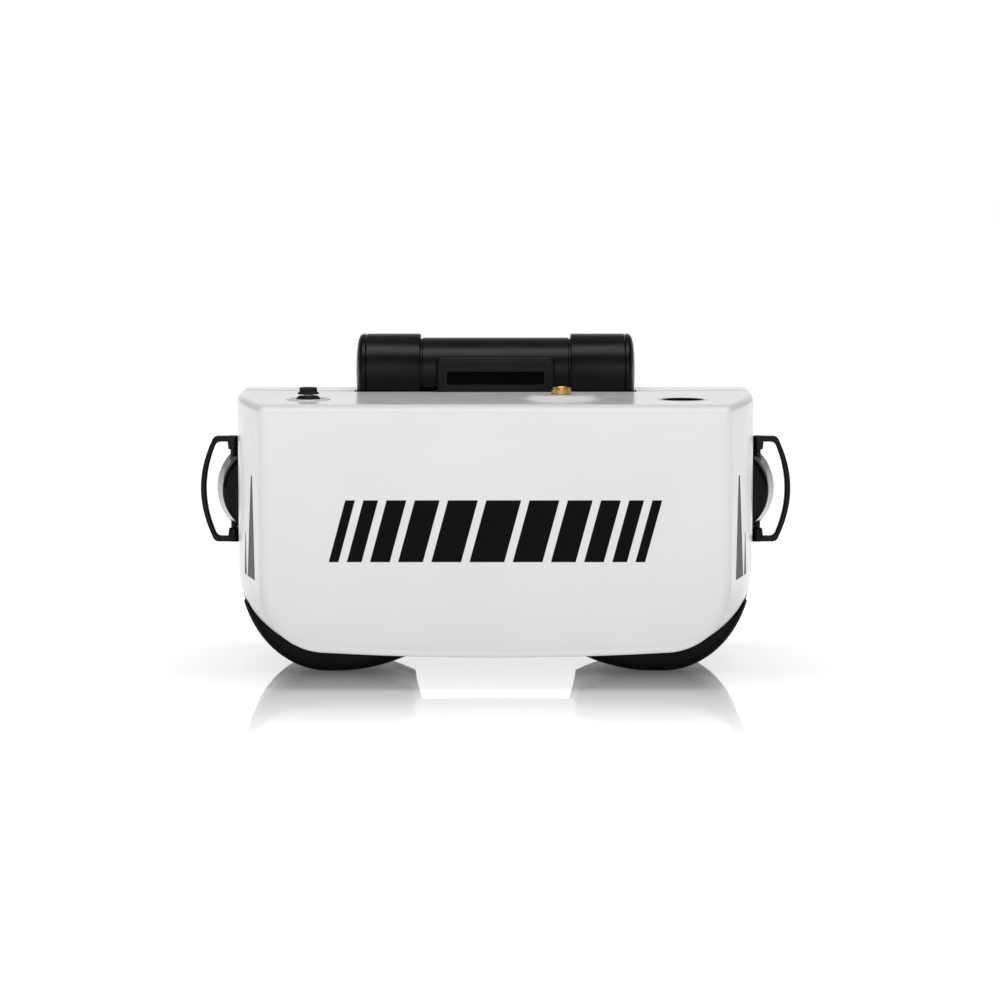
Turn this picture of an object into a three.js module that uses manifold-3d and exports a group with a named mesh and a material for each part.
// FPV goggles: a box-shaped viewer with one screen and one wide lens, a forehead battery tube
// and two side strap loops. Millimetres. Seen from the front panel, +X is to the right. -Y is the
// front, +Y is the face side and +Z is up. Z = 0 is the table under the cheek lobes.
import * as THREE from 'three';
import { mergeVertices } from 'three/addons/utils/BufferGeometryUtils.js';
import Module from 'manifold-3d';

const wasm = await Module();
wasm.setup();

// ---------------------------------------------------------------- driving dimensions
const GAP = 0.3; // clearance between touching pieces
const WALL = 2.2; // casing wall
const TOP = 89;
const BOTTOM = 10;
const FRONT = -48;
const REAR = 48;
const FRONT_HALF = 73.5; // half width of the casing just behind the front edge
const HALF = 83.3; // half width at its widest
const WIDEST_Y = 10;
const EDGE = 4; // round of the front panel's edge
const TOP_CORNER = 4;
const LOW_CORNER = 21;
const CROWN = 1.5; // how far the bottom bows down in the middle

const SEAM = { y: 8, bow: 5, slope: 0.25 }; // front shell to rear shell, at the top
const FACE_SEAM = { y: 27, bow: 0, slope: 0.34 }; // rear shell to faceplate
const FACE = { y: 30, bow: 8, pad: 10, top: 87.6 }; // face side of the faceplate, and the pad on it

const LOBE = { x: 54, z: 34, flat: 4, front: -10, wall: 2.5 };
const NOSE = { half: 27, height: 36 };

const OPTIC_Z = 51.5; // middle of the screen and lens
const SCREEN_PLATE = { x: 50.2, z: 31, y0: -29.9, y1: -28.4 };
const BACKLIGHT_Y = -33;
const BEZEL = { x: 59.5, z: 30.5, y0: -9.5, y1: -1.6 };
const EYE_FRAME = { y0: 4.9, y1: 6.9 };
const BOARD = { x: 58, y: -41.6, thick: 1.6, low: 22.5, high: 81 };
const FRAME_POST = { x: 66, z: [30, 76], radius: 3.5, bore: 1.6 }; // posts that hold the eye frame
const BOARD_POST = { x: 55, z: [26, 77], radius: 2.6, bore: 1.3 }; // posts that hold the main board
const SOCKET = { y: -36.7, low: 13.2, high: 24.5, mouth: 22 }; // between the board and the screen
const DC_JACK = { x: -16, half: 3.6, bore: 2, hole: 2.6 };
const AV_JACK = { x: 0, half: 3.2, bore: 1.8, hole: 2.4 };
const CARD_SLOT = { x: 16, half: 8, mouth: 5.8, hole: 6.4 };
const CONTROL = { x: 58.75, y: -25, joystick: 6.6, button: 7.4 }; // collar radii
const SMA = { x: 20.8, y: -20, boss: 13, rise: 1.3, radius: 3.17 };
const TUBE = { y: 17, z: 95.2, half: 45.4, end: 12, middle: 10.7, bore: 10, step: 24.3, seat: 42.1 };
const CELL = { radius: 9.2, length: 65.2 };
const LOOP = {
  pin: 86.4, outer: 97.2, shoulder: 4.2, bar: 1.6, y: 26, z: 55.5, half: 17.5, thick: 3.6, barrel: 2.4,
  knuckle: 13,
};
const PIVOT = { x: 75.3, radius: 15, y0: 17, y1: 30.5 };
const STICK = { x: -CONTROL.x, y: CONTROL.y, pivot: 83.2, radius: 1.4 };
const BRACKET = { x: 40, screw: 35, low: 81.2, high: 82.7 }; // under the casing's saddle

const group = new THREE.Group();

// ---------------------------------------------------------------- solids
function solid(geometry) {
  const bare = geometry.clone();
  bare.deleteAttribute('normal');
  bare.deleteAttribute('uv');
  const merged = mergeVertices(bare, 1e-4);
  const index = merged.index.array;
  const triangles = [];
  for (let i = 0; i < index.length; i += 3) {
    const [a, b, c] = [index[i], index[i + 1], index[i + 2]];
    if (a !== b && b !== c && c !== a) triangles.push(a, b, c);
  }
  const build = (triVerts) => new wasm.Manifold(new wasm.Mesh({
    numProp: 3,
    vertProperties: new Float32Array(merged.attributes.position.array),
    triVerts: new Uint32Array(triVerts),
  }));
  const shape = build(triangles);
  // A profile or ring listed the other way round faces inwards, so it is turned over.
  return shape.volume() > 0 ? shape : build(triangles.reverse());
}

function addPiece(name, shape, look) {
  const mesh = shape.getMesh();
  const geometry = new THREE.BufferGeometry();
  geometry.setAttribute('position', new THREE.BufferAttribute(new Float32Array(mesh.vertProperties), 3));
  geometry.setIndex(Array.from(mesh.triVerts));
  const piece = new THREE.Mesh(geometry, new THREE.MeshStandardMaterial(look));
  piece.name = name;
  group.add(piece);
}

// A box given by its limits on each axis.
function block(x0, x1, y0, y1, z0, z1) {
  const geometry = new THREE.BoxGeometry(x1 - x0, y1 - y0, z1 - z0);
  geometry.translate((x0 + x1) / 2, (y0 + y1) / 2, (z0 + z1) / 2);
  return solid(geometry);
}

// A cylinder or cone along an axis: `from` and `to` are its ends on that axis.
function rod(axis, [u, v], from, to, radius, { endRadius = radius, sides = 24 } = {}) {
  const geometry = new THREE.CylinderGeometry(endRadius, radius, to - from, sides);
  const middle = (from + to) / 2;
  if (axis === 'x') geometry.rotateZ(-Math.PI / 2).translate(middle, u, v);
  if (axis === 'y') geometry.translate(u, middle, v);
  if (axis === 'z') geometry.rotateX(Math.PI / 2).translate(u, v, middle);
  return solid(geometry);
}

// A turned solid about a vertical or sideways axis; the profile is [radius, height] pairs.
function turned(axis, profile, [x, y, z], sides = 32) {
  const geometry = new THREE.LatheGeometry(profile.map(([r, h]) => new THREE.Vector2(r, h)), sides);
  if (axis === 'x') geometry.rotateZ(-Math.PI / 2);
  if (axis === 'z') geometry.rotateX(Math.PI / 2);
  geometry.translate(x, y, z);
  return solid(geometry);
}

// An outline in the XZ plane, thickened from y0 to y1.
function slab(shape, y0, y1, { curve = 6 } = {}) {
  const geometry = new THREE.ExtrudeGeometry(shape, {
    depth: y1 - y0,
    curveSegments: curve,
    bevelEnabled: false,
  });
  geometry.rotateX(Math.PI / 2).translate(0, y1, 0);
  return solid(geometry);
}

// A rounded rectangle in the XZ plane.
function rectangle(halfX, halfZ, z, radius, x = 0) {
  const shape = new THREE.Shape();
  const [l, r, b, t] = [x - halfX, x + halfX, z - halfZ, z + halfZ];
  shape.moveTo(l + radius, b);
  shape.lineTo(r - radius, b);
  shape.absarc(r - radius, b + radius, radius, -Math.PI / 2, 0);
  shape.lineTo(r, t - radius);
  shape.absarc(r - radius, t - radius, radius, 0, Math.PI / 2);
  shape.lineTo(l + radius, t);
  shape.absarc(l + radius, t - radius, radius, Math.PI / 2, Math.PI);
  shape.lineTo(l, b + radius);
  shape.absarc(l + radius, b + radius, radius, Math.PI, 1.5 * Math.PI);
  return shape;
}

// A rounded plate: half sizes, thickness from y0 to y1, and its corner radius.
const plate = (halfX, halfZ, y0, y1, radius, z = OPTIC_Z) =>
  slab(rectangle(halfX, halfZ, z, radius), y0, y1, { curve: 3 });

// A skin through closed rings of points, with a fan over each end.
function loft(rings) {
  const count = rings[0].length;
  const positions = rings.flat().flatMap((p) => [p.x, p.y, p.z]);
  const index = [];
  for (let r = 0; r + 1 < rings.length; r++) {
    for (let i = 0; i < count; i++) {
      const a = r * count + i;
      const b = r * count + (i + 1) % count;
      index.push(a, b, a + count, b, b + count, a + count);
    }
  }
  const ends = [[rings[0], 0, true], [rings.at(-1), (rings.length - 1) * count, false]];
  for (const [ring, first, flip] of ends) {
    const middle = ring.reduce((sum, p) => sum.add(p), new THREE.Vector3()).divideScalar(count);
    const hub = positions.length / 3;
    positions.push(middle.x, middle.y, middle.z);
    for (let i = 0; i < count; i++) {
      const [a, b] = [first + i, first + (i + 1) % count];
      index.push(...(flip ? [hub, b, a] : [hub, a, b]));
    }
  }
  const geometry = new THREE.BufferGeometry();
  geometry.setAttribute('position', new THREE.Float32BufferAttribute(positions, 3));
  geometry.setIndex(index);
  return solid(geometry);
}

// Everything between two curves seen from above, leaning forward towards the bottom.
function between(front, rear, slope = 0) {
  const reach = 110;
  const steps = 14;
  const at = (i) => -reach + (2 * reach * i) / steps;
  const shape = new THREE.Shape();
  shape.moveTo(-reach, front(-reach));
  for (let i = 1; i <= steps; i++) shape.lineTo(at(i), front(at(i)));
  for (let i = steps; i >= 0; i--) shape.lineTo(at(i), rear(at(i)));
  const geometry = new THREE.ExtrudeGeometry(shape, { depth: 150, bevelEnabled: false });
  geometry.translate(0, 0, -20);
  geometry.applyMatrix4(new THREE.Matrix4().set(
    1, 0, 0, 0,
    0, 1, slope, -slope * TOP,
    0, 0, 1, 0,
    0, 0, 0, 1,
  ));
  return solid(geometry);
}

const join = (first, ...rest) => rest.reduce((sum, part) => sum.add(part), first);
const bowed = ({ y, bow }, shift = 0) => (x) => y + shift + bow * Math.min(1, Math.abs(x) / HALF) ** 2;
const far = (y) => () => y;
// A cut can leave a loose sliver beside the saddle or a seam: the piece is the largest body.
const largest = (shape) => shape.decompose().sort((a, b) => b.volume() - a.volume())[0];

// ---------------------------------------------------------------- looks
const WHITE = { color: 0xe9e9ec, roughness: 0.22, metalness: 0 };
const BLACK = { color: 0x141416, roughness: 0.4, metalness: 0 };
const GLOSS_BLACK = { color: 0x0e0f12, roughness: 0.18, metalness: 0 };
const RUBBER = { color: 0x1a1a1b, roughness: 0.85, metalness: 0 };
const FOAM = { color: 0x202022, roughness: 0.95, metalness: 0 };
const GOLD = { color: 0xd9a441, roughness: 0.25, metalness: 1 };
const STEEL = { color: 0xb9bcc0, roughness: 0.35, metalness: 1 };
const GREEN = { color: 0x0d4a2c, roughness: 0.5, metalness: 0 };
const GLASS = { color: 0xdfe8ee, roughness: 0.03, metalness: 0 };
const SCREEN = { color: 0x07080b, roughness: 0.08, metalness: 0 };
const CREAM = { color: 0xf0ede2, roughness: 0.5, metalness: 0 };
const BLUE = { color: 0x2d62a8, roughness: 0.45, metalness: 0 };

// ---------------------------------------------------------------- casing
function sideHalf(y) {
  const start = FRONT + EDGE;
  const t = THREE.MathUtils.clamp((y - start) / (WIDEST_Y - start), 0, 1);
  return FRONT_HALF + (HALF - FRONT_HALF) * Math.sin((t * Math.PI) / 2);
}

// One cross-section of the casing: square top corners, wide low corners, a bowed bottom.
function section(y, inset) {
  const half = sideHalf(y) - inset;
  const low = LOW_CORNER - inset;
  const high = Math.max(0.8, TOP_CORNER - inset);
  const points = [];
  const arc = (x, z, radius, from, steps) => {
    for (let i = 0; i <= steps; i++) {
      const a = from + (i / steps) * (Math.PI / 2);
      points.push(new THREE.Vector3(x + radius * Math.cos(a), y, z + radius * Math.sin(a)));
    }
  };
  const lowX = half - low;
  const lowZ = BOTTOM + CROWN + LOW_CORNER;
  for (let i = 1; i < 6; i++) {
    const x = lowX * (i / 3 - 1);
    points.push(new THREE.Vector3(x, y, BOTTOM + inset + CROWN * (x / lowX) ** 2));
  }
  arc(lowX, lowZ, low, -Math.PI / 2, 7);
  arc(half - high, TOP - inset - high, high, 0, 2);
  arc(-(half - high), TOP - inset - high, high, Math.PI / 2, 2);
  arc(-lowX, lowZ, low, Math.PI, 7);
  return points.reverse();
}

function casing(inset) {
  const rings = [];
  for (let k = 0; k <= 3; k++) {
    const a = (k / 3) * (Math.PI / 2);
    const round = Math.max(0.5, EDGE - inset);
    rings.push(section(FRONT + inset + round * (1 - Math.cos(a)), inset + round * (1 - Math.sin(a))));
  }
  for (const y of [-32, -18, -4, WIDEST_Y, 60]) rings.push(section(y, inset));
  return loft(rings);
}

const casingOuter = casing(0);
const casingInner = casing(WALL);
const casingSkin = casingOuter.subtract(casingInner);
const tubeSaddle = rod('x', [TUBE.y, TUBE.z], -TUBE.half - GAP, TUBE.half + GAP, TUBE.end + GAP);

function frontShell() {
  let shell = casingSkin.intersect(between(far(-60), bowed(SEAM), SEAM.slope)).subtract(tubeSaddle);
  const roof = TOP - WALL;
  const mound = [[0, roof], [SMA.boss, roof], [SMA.boss, TOP], [SMA.boss - 1.2, TOP + 0.5],
    [SMA.boss - 4, TOP + SMA.rise], [0, TOP + SMA.rise]];
  shell = shell.add(turned('z', mound, [SMA.x, SMA.y, 0]));
  shell = shell.subtract(rod('z', [SMA.x, SMA.y], roof - 1, TOP + 4, SMA.radius + GAP));
  for (const [side, collarRadius] of [[-1, CONTROL.joystick], [1, CONTROL.button]]) {
    const place = [side * CONTROL.x, CONTROL.y];
    shell = shell.subtract(rod('z', place, roof - 1, TOP + 1, collarRadius + GAP));
    const root = FRONT + WALL - 0.5;
    for (const z of FRAME_POST.z) {
      const at = [side * FRAME_POST.x, z];
      shell = shell.add(rod('y', at, root, 2.7, FRAME_POST.radius, { sides: 16 }));
      shell = shell.subtract(rod('y', at, -8, 4, FRAME_POST.bore, { sides: 12 }));
    }
    for (const z of BOARD_POST.z) {
      const at = [side * BOARD_POST.x, z];
      shell = shell.add(rod('y', at, root, BOARD.y - GAP, BOARD_POST.radius, { sides: 12 }));
      shell = shell.subtract(rod('y', at, BOARD.y - 3, -41, BOARD_POST.bore, { sides: 12 }));
    }
  }
  const floor = SOCKET.low + 1.3;
  for (const { x, hole } of [DC_JACK, AV_JACK]) {
    shell = shell.subtract(rod('z', [x, SOCKET.y], 5, floor, hole, { sides: 14 }));
  }
  const [left, right] = [CARD_SLOT.x - CARD_SLOT.hole, CARD_SLOT.x + CARD_SLOT.hole];
  return largest(shell.subtract(block(left, right, SOCKET.y - 1.3, SOCKET.y + 1.3, 5, floor)));
}

function rearShell() {
  const strip = between(bowed(SEAM, GAP), far(80), SEAM.slope);
  const end = between(far(-60), bowed(FACE_SEAM), FACE_SEAM.slope);
  return largest(casingSkin.intersect(strip).intersect(end).subtract(tubeSaddle));
}

addPiece('front_shell', frontShell(), WHITE);
addPiece('rear_shell', rearShell(), WHITE);

// ---------------------------------------------------------------- faceplate and pad
// The face outline, drawn inset by d: flat top, straight sides, round cheeks and a nose arch. The sides can be
// drawn narrower still.
function faceOutline(d, narrow = 0) {
  const shape = new THREE.Shape();
  const corner = Math.max(1.5, TOP_CORNER - d);
  const [side, top] = [HALF - d - narrow, FACE.top - d];
  const [archX, archZ] = [NOSE.half + d, NOSE.height + d];
  const lift = 0.16; // where the cheek meets the nose arch, as an angle on the arch
  const [footX, footZ] = [archX * Math.cos(lift), archZ * Math.sin(lift)];
  shape.moveTo(side, LOBE.z);
  shape.lineTo(side, top - corner);
  shape.absarc(side - corner, top - corner, corner, 0, Math.PI / 2);
  shape.lineTo(-side + corner, top);
  shape.absarc(-side + corner, top - corner, corner, Math.PI / 2, Math.PI);
  shape.lineTo(-side, LOBE.z);
  shape.absellipse(-LOBE.x, LOBE.z, side - LOBE.x, LOBE.z - d, Math.PI, 1.5 * Math.PI);
  shape.lineTo(-LOBE.x + LOBE.flat, d);
  shape.bezierCurveTo(-LOBE.x + 14, d, -footX - 4, footZ - 2, -footX, footZ);
  shape.absellipse(0, 0, archX, archZ, Math.PI - lift, lift, true);
  shape.bezierCurveTo(footX + 4, footZ - 2, LOBE.x - 14, d, LOBE.x - LOBE.flat, d);
  shape.lineTo(LOBE.x, d);
  shape.absellipse(LOBE.x, LOBE.z, side - LOBE.x, LOBE.z - d, -Math.PI / 2, 0);
  return shape;
}

// The cheek lobes alone: the lower part of the face outline, under the casing.
function cheekTongues() {
  const tip = slab(faceOutline(3, 0.8), LOBE.front, 12);
  const front = tip.add(slab(faceOutline(0, 0.8), LOBE.front + 3, 12));
  const low = front.intersect(block(-100, 100, -40, 8, -5, 22.7));
  const wide = casing(-2 * GAP);
  const drop = BOTTOM + CROWN + GAP;
  const tongues = low.intersect(casingOuter.translate([0, 0, -drop])).subtract(wide);
  return tongues.subtract(slab(faceOutline(LOBE.wall), LOBE.front + LOBE.wall, 20));
}

function pivotBoss(side) {
  const { radius, y0, y1 } = PIVOT;
  const profile = [[0, y0], [radius - 4, y0], [radius - 1.2, y0 + 1.6], [radius, y0 + 5],
    [radius, y1 - 4], [radius - 1.2, y1 - 1], [radius - 4, y1], [0, y1]];
  const upright = turned('y', profile, [side * PIVOT.x, 0, LOOP.z], 40);
  const outside = side < 0 ? block(-110, -HALF + 2, 0, 60, 30, 90) : block(HALF - 2, 110, 0, 60, 30, 90);
  const place = [side * LOOP.pin, LOOP.y];
  const seat = (z0, z1) => rod('z', place, z0, z1, LOOP.barrel + 2 * GAP, { sides: 18 });
  const reach = LOOP.knuckle - GAP;
  const bored = upright.intersect(outside).subtract(rod('z', place, 30, 90, 1.3, { sides: 16 }));
  return bored.subtract(seat(30, LOOP.z - reach)).subtract(seat(LOOP.z + reach, 90));
}

function faceplate() {
  const behind = between(bowed(FACE_SEAM, GAP), far(80), FACE_SEAM.slope);
  const ahead = between(far(-80), bowed(FACE));
  const hollow = slab(faceOutline(LOBE.wall), -30, 60);
  const rim = slab(faceOutline(0), -30, 60).subtract(hollow);
  const frame = rim.intersect(behind).intersect(ahead);
  const web = plate(NOSE.half + 4, 14.5, 2.2, 4.4, 3, BOTTOM + CROWN + 15.2);
  const arch = web.add(plate(15, 6, 2.2, 4.4, 5.9, 36)).intersect(casingInner);
  let body = join(frame, cheekTongues(), arch);
  body = body.subtract(casing(-2 * GAP).subtract(behind).subtract(casingInner));
  body = body.subtract(tubeSaddle);
  const bosses = [-1, 1].map((side) => pivotBoss(side).intersect(behind));
  return largest(join(body, ...bosses));
}

function facePad() {
  const ring = slab(faceOutline(1.5), 20, 60).subtract(slab(faceOutline(12.5), 10, 70));
  const rise = (REAR - FACE.y - FACE.pad) / ((HALF - 1.5) / HALF) ** 2;
  const faceSide = (x) => FACE.y + FACE.pad + rise * (x / HALF) ** 2;
  return ring.intersect(between(bowed(FACE, GAP), faceSide));
}

addPiece('faceplate', faceplate(), BLACK);
addPiece('face_pad', facePad(), FOAM);

// ---------------------------------------------------------------- screen and lens
// A four-sided hollow that widens from the screen to the lens.
function lightHood() {
  const [y0, y1] = [-28, -9.8];
  const ring = (y, halfX, halfZ) => [[1, 1], [-1, 1], [-1, -1], [1, -1]]
    .map(([x, z]) => new THREE.Vector3(x * halfX, y, OPTIC_Z + z * halfZ));
  const outer = loft([ring(y0, 50, 30), ring(y1, 56, 29)]);
  const slope = (57 - 50) / (y1 - y0);
  const inner = loft([ring(y0 - 1, 48.5 - slope * 0.8, 28.5), ring(y1 + 1, 54.5 + slope * 0.8, 27.5)]);
  return outer.subtract(inner);
}

function lens() {
  const [back, thick, sag] = [-9.3, 6, 3.4];
  const radius = 66;
  const profile = [[0, back]];
  for (let i = 0; i <= 6; i++) {
    const r = radius * (1 - i / 6);
    profile.push([r, back + thick - sag * (r / radius) ** 2]);
  }
  const dome = turned('y', profile, [0, 0, OPTIC_Z], 32);
  return dome.intersect(plate(56, 27, -20, 10, 6));
}

addPiece('light_hood', lightHood(), BLACK);
addPiece('lens', lens(), GLASS);

// The bezel holds the lens in a rebate, with a narrower lip on the face side.
function lensBezel() {
  const rim = plate(BEZEL.x, BEZEL.z, BEZEL.y0, BEZEL.y1, 8);
  const rebate = plate(56.4, 27.4, BEZEL.y0 - 1, BEZEL.y1 - 1.3, 6);
  return rim.subtract(rebate).subtract(plate(54, 25, BEZEL.y1 - 2.4, 0, 5));
}
addPiece('lens_bezel', lensBezel(), BLACK);

const screenPlate = (y0, y1) => plate(SCREEN_PLATE.x, SCREEN_PLATE.z, y0, y1, 1);
addPiece('display_panel', screenPlate(SCREEN_PLATE.y0, SCREEN_PLATE.y1), SCREEN);
addPiece('display_backlight', screenPlate(BACKLIGHT_Y, SCREEN_PLATE.y0 - GAP), STEEL);
const carrier = plate(53, 33.4, BACKLIGHT_Y - 0.4, SCREEN_PLATE.y1, 3);
addPiece('display_carrier', carrier.subtract(plate(50.6, 31.4, -34, -28, 1)), BLACK);

// Black ring that holds the optics and closes the gap round them on the face side.
function eyeFrame() {
  const ring = slab(faceOutline(LOBE.wall + 0.5), EYE_FRAME.y0, EYE_FRAME.y1);
  const window = slab(faceOutline(9), 0, 10).intersect(block(-58, 58, 0, 10, 24, 79));
  let frame = ring.subtract(window).subtract(tubeSaddle).intersect(casing(WALL + GAP));
  for (const x of [-FRAME_POST.x, FRAME_POST.x]) {
    for (const z of FRAME_POST.z) {
      frame = frame.subtract(rod('y', [x, z], 4, 8, FRAME_POST.bore, { sides: 12 }));
    }
  }
  return largest(frame);
}
addPiece('eye_frame', eyeFrame(), BLACK);

// A screw along Y with its head towards the face and a six-sided socket in the head.
function screw(x, z, { tip, seat, shaft, head, height }) {
  const body = rod('y', [x, z], tip, seat + 0.1, shaft, { sides: 8 });
  const cap = rod('y', [x, z], seat, seat + height, head, { sides: 10 });
  const drive = rod('y', [x, z], seat + height * 0.4, seat + height + 1, head * 0.45, { sides: 6 });
  return body.add(cap).subtract(drive);
}
const FRAME_SCREW = { tip: -6, seat: EYE_FRAME.y1 + GAP, shaft: 1.2, head: 2.6, height: 1.6 };
const BOARD_SCREW = { tip: -44.3, seat: BOARD.y + BOARD.thick + GAP, shaft: 1, head: 2, height: 1.3 };
for (const [side, sign] of [['left', -1], ['right', 1]]) {
  for (const [i, level] of ['low', 'high'].entries()) {
    const frameScrew = screw(sign * FRAME_POST.x, FRAME_POST.z[i], FRAME_SCREW);
    const boardScrew = screw(sign * BOARD_POST.x, BOARD_POST.z[i], BOARD_SCREW);
    addPiece(`frame_screw_${level}_${side}`, frameScrew, STEEL);
    addPiece(`board_screw_${level}_${side}`, boardScrew, STEEL);
  }
}

// ---------------------------------------------------------------- electronics
const BOARD_REAR = BOARD.y + BOARD.thick + GAP;
function mainBoard() {
  let board = block(-BOARD.x, BOARD.x, BOARD.y, BOARD.y + BOARD.thick, BOARD.low, BOARD.high);
  for (const x of [-BOARD_POST.x, BOARD_POST.x]) {
    for (const z of BOARD_POST.z) {
      board = board.subtract(rod('y', [x, z], -43, -39, BOARD_POST.bore, { sides: 12 }));
    }
  }
  return board;
}
addPiece('main_board', mainBoard(), GREEN);
addPiece('receiver_module', block(8, 44, BOARD_REAR, -35, 48, 74), STEEL);
addPiece('patch_antenna', block(-50, -14, -45.3, -43.2, 36, 72), CREAM);
addPiece('speaker', rod('y', [-30, 40], BOARD_REAR, -35.4, 8, { sides: 20 }), BLACK);

// The sockets stand over holes in the casing floor and open downwards between the cheeks.
function jack({ x, half, bore }) {
  const shell = block(x - half, x + half, SOCKET.y - 2.9, SOCKET.y + 2.9, SOCKET.low, SOCKET.high);
  return shell.subtract(rod('z', [x, SOCKET.y], 5, SOCKET.mouth, bore, { sides: 14 }));
}
function cardSlot() {
  const { x, half, mouth } = CARD_SLOT;
  const shell = block(x - half, x + half, SOCKET.y - 1.9, SOCKET.y + 1.9, SOCKET.low, SOCKET.high);
  return shell.subtract(block(x - mouth, x + mouth, SOCKET.y - 0.6, SOCKET.y + 0.6, 5, SOCKET.mouth));
}
addPiece('dc_jack', jack(DC_JACK), BLACK);
addPiece('av_jack', jack(AV_JACK), BLACK);
addPiece('card_slot', cardSlot(), STEEL);

// ---------------------------------------------------------------- antenna socket
function smaJack() {
  const [pin, flange, bore, rim] = [1.4, 4.2, 2.35, TOP + 3.5];
  const [foot, seat, roof] = [81.9, 83.6, 86.4];
  const low = [[0, foot], [pin, foot], [pin, seat], [flange, seat], [flange, roof], [SMA.radius, roof]];
  const high = [[SMA.radius, rim - 0.3], [SMA.radius - 0.3, rim], [bore, rim],
    [bore, rim - 5], [0, rim - 5]];
  return turned('z', [...low, ...high], [SMA.x, SMA.y, 0], 18);
}
function smaInsulator() {
  const [low, high] = [TOP - 1.2, TOP + 1.5];
  const profile = [[0, low], [2.05, low], [2.05, high], [0.65, high], [0.65, low + 1], [0, low + 1]];
  return turned('z', profile, [SMA.x, SMA.y, 0], 14);
}
addPiece('sma_jack', smaJack(), GOLD);
addPiece('sma_insulator', smaInsulator(), CREAM);

// ---------------------------------------------------------------- controls on the top
function collar(side, radius, rise) {
  const place = [side * CONTROL.x, CONTROL.y];
  const roof = TOP - WALL;
  const flange = rod('z', place, roof - 1.4, roof - GAP, radius + 1.6, { sides: 28 });
  const wall = rod('z', place, roof - 0.5, TOP + rise, radius, { endRadius: radius - 0.2, sides: 28 });
  return flange.add(wall);
}
// The joystick's collar holds a shallow dish, the button's a straight well.
const dish = [[0, TOP - 1.4], [5.2, TOP - 1.4], [5.8, TOP + 0.5], [5.8, TOP + 2], [0, TOP + 2]];
const well = [[0, TOP - 2.4], [6.8, TOP - 2.4], [6.8, TOP + 2], [0, TOP + 2]];
const hollow = (side, profile) => turned('z', profile, [side * CONTROL.x, CONTROL.y, 0], 24);
const hole = (side, radius) => rod('z', [side * CONTROL.x, CONTROL.y], 80, 90, radius);
const stickCollar = collar(-1, CONTROL.joystick, 0.4).subtract(hollow(-1, dish));
const buttonCollar = collar(1, CONTROL.button, 0.1).subtract(hollow(1, well));
addPiece('joystick_collar', stickCollar.subtract(hole(-1, 4.3)), WHITE);
addPiece('button_collar', buttonCollar.subtract(hole(1, 4.4)), WHITE);

// The stick turns in the gimbal ring, the ring turns in the switch, and the cap presses down on the stick.
const stickAt = [STICK.x, STICK.y];
const onStick = (profile) => turned('z', profile, [...stickAt, 0], 18);
const box = ([x, y], half, z0, z1) => block(x - half, x + half, y - half, y + half, z0, z1);
const stickWell = rod('z', stickAt, STICK.pivot - 2.2, 90, 4.2);
const gimbal = rod('z', stickAt, STICK.pivot - 1, STICK.pivot + 1, 3.8);
const boot = [[1.7, 89], [3.8, 89], [3.8, 89.6], [3.2, 90.2], [1.7, 90.2], [1.7, 89]];
const cap = [[0, 91.6], [1.7, 91.6], [1.7, 90.8], [2.9, 90.8], [3.4, 91.5], [3.4, 92.3],
  [2.9, 92.8], [0, 92.8]];
addPiece('joystick_switch', box(stickAt, 5, 79.6, 84.9).subtract(stickWell), STEEL);
addPiece('joystick_gimbal', gimbal.subtract(rod('z', stickAt, 80, 90, 2.4)), STEEL);
addPiece('joystick_stick', rod('z', stickAt, STICK.pivot - 1.4, 91, STICK.radius, { sides: 14 }), STEEL);
addPiece('joystick_boot', onStick(boot), RUBBER);
addPiece('joystick_cap', onStick(cap), RUBBER);

const button = [[0, 86], [3.9, 86], [3.9, 87.3], [6.4, 87.3], [6.4, 88], [6.1, 88.2], [0, 88.2]];
addPiece('power_button', turned('z', button, [CONTROL.x, CONTROL.y, 0], 24), BLACK);
addPiece('power_switch', box([CONTROL.x, CONTROL.y], 3, 81.5, 85), STEEL);

// ---------------------------------------------------------------- battery tube
// The tube lies across the forehead: two thick ends, a slimmer middle and an apron in front of it.
function batteryHousing() {
  const chamfer = 0.8;
  const half = [[TUBE.middle, TUBE.step - chamfer], [TUBE.end - chamfer, TUBE.step - chamfer],
    [TUBE.end, TUBE.step], [TUBE.end, TUBE.seat - GAP], [0, TUBE.seat - GAP]];
  const other = half.map(([radius, x]) => [radius, -x]).reverse();
  const tube = turned('x', [...other, ...half], [0, TUBE.y, TUBE.z], 32);
  const apron = block(-19.2, 19.2, TUBE.y - 12.2, TUBE.y - 3, TOP + GAP, 100.2);
  const slot = block(-15.7, 15.7, 0, TUBE.y - 10.6, 91.4, 95.6);
  const bore = rod('x', [TUBE.y, TUBE.z], -60, 60, TUBE.bore, { sides: 28 });
  let body = tube.add(apron).subtract(slot).subtract(bore);
  for (const x of [-BRACKET.screw, BRACKET.screw]) {
    body = body.subtract(rod('z', [x, TUBE.y], 80, 84.6, 1.4, { sides: 12 }));
  }
  return largest(body);
}

// A domed cap plugs into the tube's end and turns a quarter turn by the coin slot across it.
function batteryCap(side) {
  const outer = TUBE.half;
  const [plug, rim] = [TUBE.bore - 0.4, TUBE.end - 0.1];
  const inside = [[0, outer - 5], [plug, outer - 5], [plug, TUBE.seat], [rim, TUBE.seat]];
  const dome = [[rim, outer - 2.1], [rim - 0.7, outer - 1.5], [rim - 1.7, outer - 1],
    [rim - 3.9, outer - 0.55], [rim - 6.9, outer - 0.2], [0, outer]];
  const turn = turned('x', [...inside, ...dome], [0, 0, 0], 28);
  const slot = block(outer - 1, outer + 1, -5, 5, -0.8, 0.8);
  const lid = turn.subtract(slot);
  return (side < 0 ? lid.rotate([0, 0, 180]) : lid).translate([0, TUBE.y, TUBE.z]);
}

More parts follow.
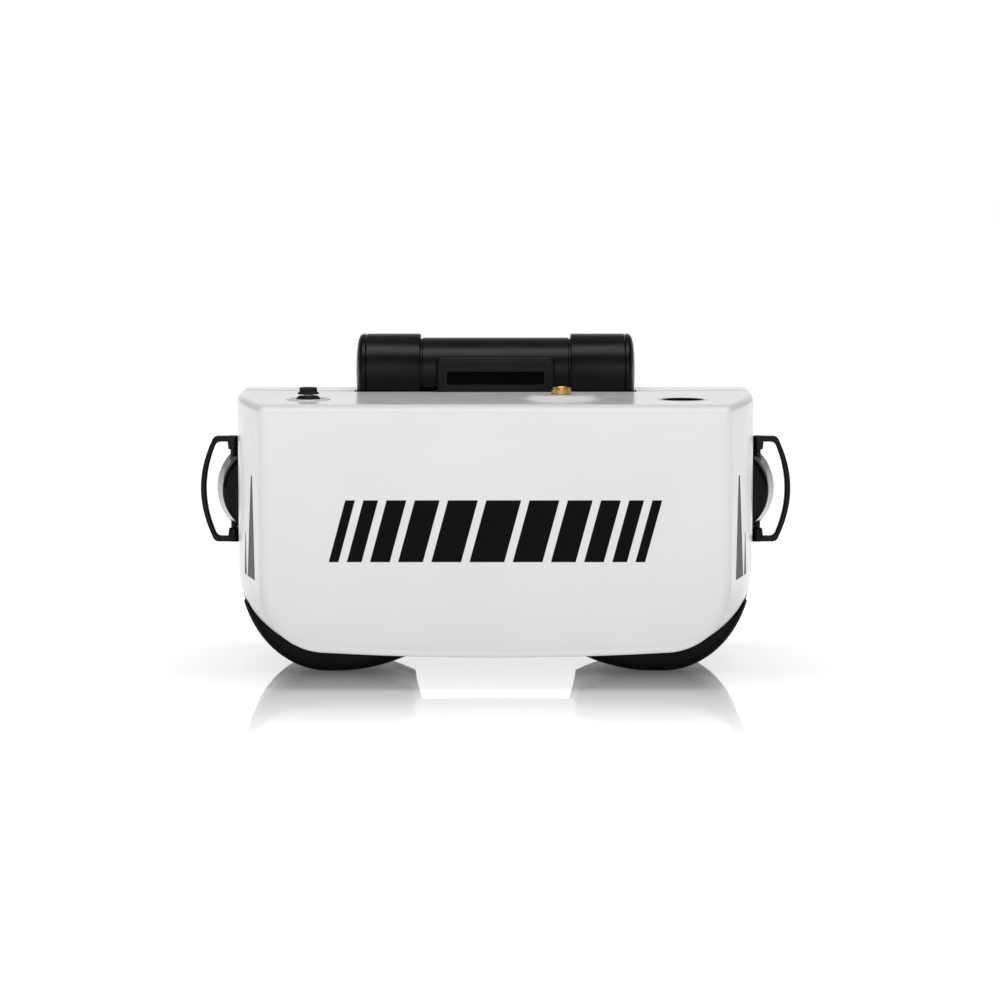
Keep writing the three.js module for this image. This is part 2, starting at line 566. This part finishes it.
function batteryCell() {
  const [half, shoulder, tip] = [CELL.length / 2, CELL.length / 2 - 1, 3];
  const profile = [[0, -half], [CELL.radius - 0.4, -half], [CELL.radius, -half + 0.4],
    [CELL.radius, shoulder - 0.4], [CELL.radius - 0.6, shoulder], [tip, shoulder], [tip, half], [0, half]];
  return turned('x', profile, [0, TUBE.y, TUBE.z], 24);
}
addPiece('battery_housing', batteryHousing(), GLOSS_BLACK);
addPiece('battery_cap_left', batteryCap(-1), GLOSS_BLACK);
addPiece('battery_cap_right', batteryCap(1), GLOSS_BLACK);
addPiece('battery_cell', batteryCell(), BLUE);
addPiece('battery_contact', rod('x', [TUBE.y, TUBE.z], 33, 34, 5, { sides: 16 }), GOLD);

// A conical spring between the contact disc and the right cap.
function batterySpring() {
  const spring = { start: 34.6, length: 5.1, turns: 3.5, wide: 5.2, narrow: 3.6, wire: 0.4 };
  class Helix extends THREE.Curve {
    getPoint(t) {
      const a = t * spring.turns * 2 * Math.PI;
      const r = spring.wide + (spring.narrow - spring.wide) * t;
      const x = spring.start + spring.length * t;
      return new THREE.Vector3(x, TUBE.y + r * Math.cos(a), TUBE.z + r * Math.sin(a));
    }
  }
  const wire = new THREE.Shape();
  wire.absarc(0, 0, spring.wire, 0, 2 * Math.PI);
  const options = { steps: 32, curveSegments: 3, extrudePath: new Helix() };
  return solid(new THREE.ExtrudeGeometry(wire, options));
}
addPiece('battery_spring', batterySpring(), STEEL);

let bracket = block(-BRACKET.x, BRACKET.x, TUBE.y - 7, TUBE.y + 7, BRACKET.low, BRACKET.high);
for (const [side, x] of [['left', -BRACKET.screw], ['right', BRACKET.screw]]) {
  const shaft = rod('z', [x, TUBE.y], 80, 84.3, 1.1, { sides: 10 });
  const head = rod('z', [x, TUBE.y], 79.3, BRACKET.low - GAP, 2.2, { sides: 14 });
  bracket = bracket.subtract(rod('z', [x, TUBE.y], 79, 84, 1.4, { sides: 12 }));
  addPiece(`bracket_screw_${side}`, shaft.add(head), STEEL);
}
addPiece('housing_bracket', bracket, BLACK);

// ---------------------------------------------------------------- side loops
// The loop's D-shaped outline, drawn inset, from the pin's side outwards.
function loopOutline(inset, inner) {
  const [low, high] = [LOOP.z - LOOP.half + inset, LOOP.z + LOOP.half - inset];
  const [outer, round] = [LOOP.outer - inset, 1.8];
  const corner = outer - LOOP.shoulder + 0.5 * inset;
  const shape = new THREE.Shape();
  shape.moveTo(inner, low);
  shape.lineTo(corner - round, low);
  shape.quadraticCurveTo(corner, low, corner + 0.5, low + round);
  shape.quadraticCurveTo(2 * outer - corner - 0.5, LOOP.z, corner + 0.5, high - round);
  shape.quadraticCurveTo(corner, high, corner - round, high);
  shape.lineTo(inner, high);
  return shape;
}

function strapLoop(side) {
  const [y0, y1] = [LOOP.y - LOOP.thick / 2, LOOP.y + LOOP.thick / 2];
  const opening = slab(loopOutline(LOOP.bar, 80), y0 - 1, y1 + 1);
  let loop = slab(loopOutline(0, LOOP.pin - 1.2), y0, y1).subtract(opening);
  const [foot, head] = [LOOP.z - LOOP.knuckle, LOOP.z + LOOP.knuckle];
  const [low, high] = [LOOP.z - LOOP.half, LOOP.z + LOOP.half];
  const barrel = (z0, z1) => rod('z', [LOOP.pin, LOOP.y], z0, z1, LOOP.barrel, { sides: 18 });
  loop = loop.add(barrel(low, foot)).add(barrel(head, high));
  loop = loop.subtract(rod('z', [LOOP.pin, LOOP.y], low - 1, high + 1, 1.3, { sides: 16 }));
  return side < 0 ? loop.mirror([1, 0, 0]) : loop;
}
for (const [side, sign] of [['left', -1], ['right', 1]]) {
  const reach = LOOP.half - 1.4;
  const pin = rod('z', [sign * LOOP.pin, LOOP.y], LOOP.z - reach, LOOP.z + reach, 1, { sides: 14 });
  addPiece(`strap_loop_${side}`, strapLoop(sign), GLOSS_BLACK);
  addPiece(`hinge_pin_${side}`, pin, STEEL);
}

export default group;
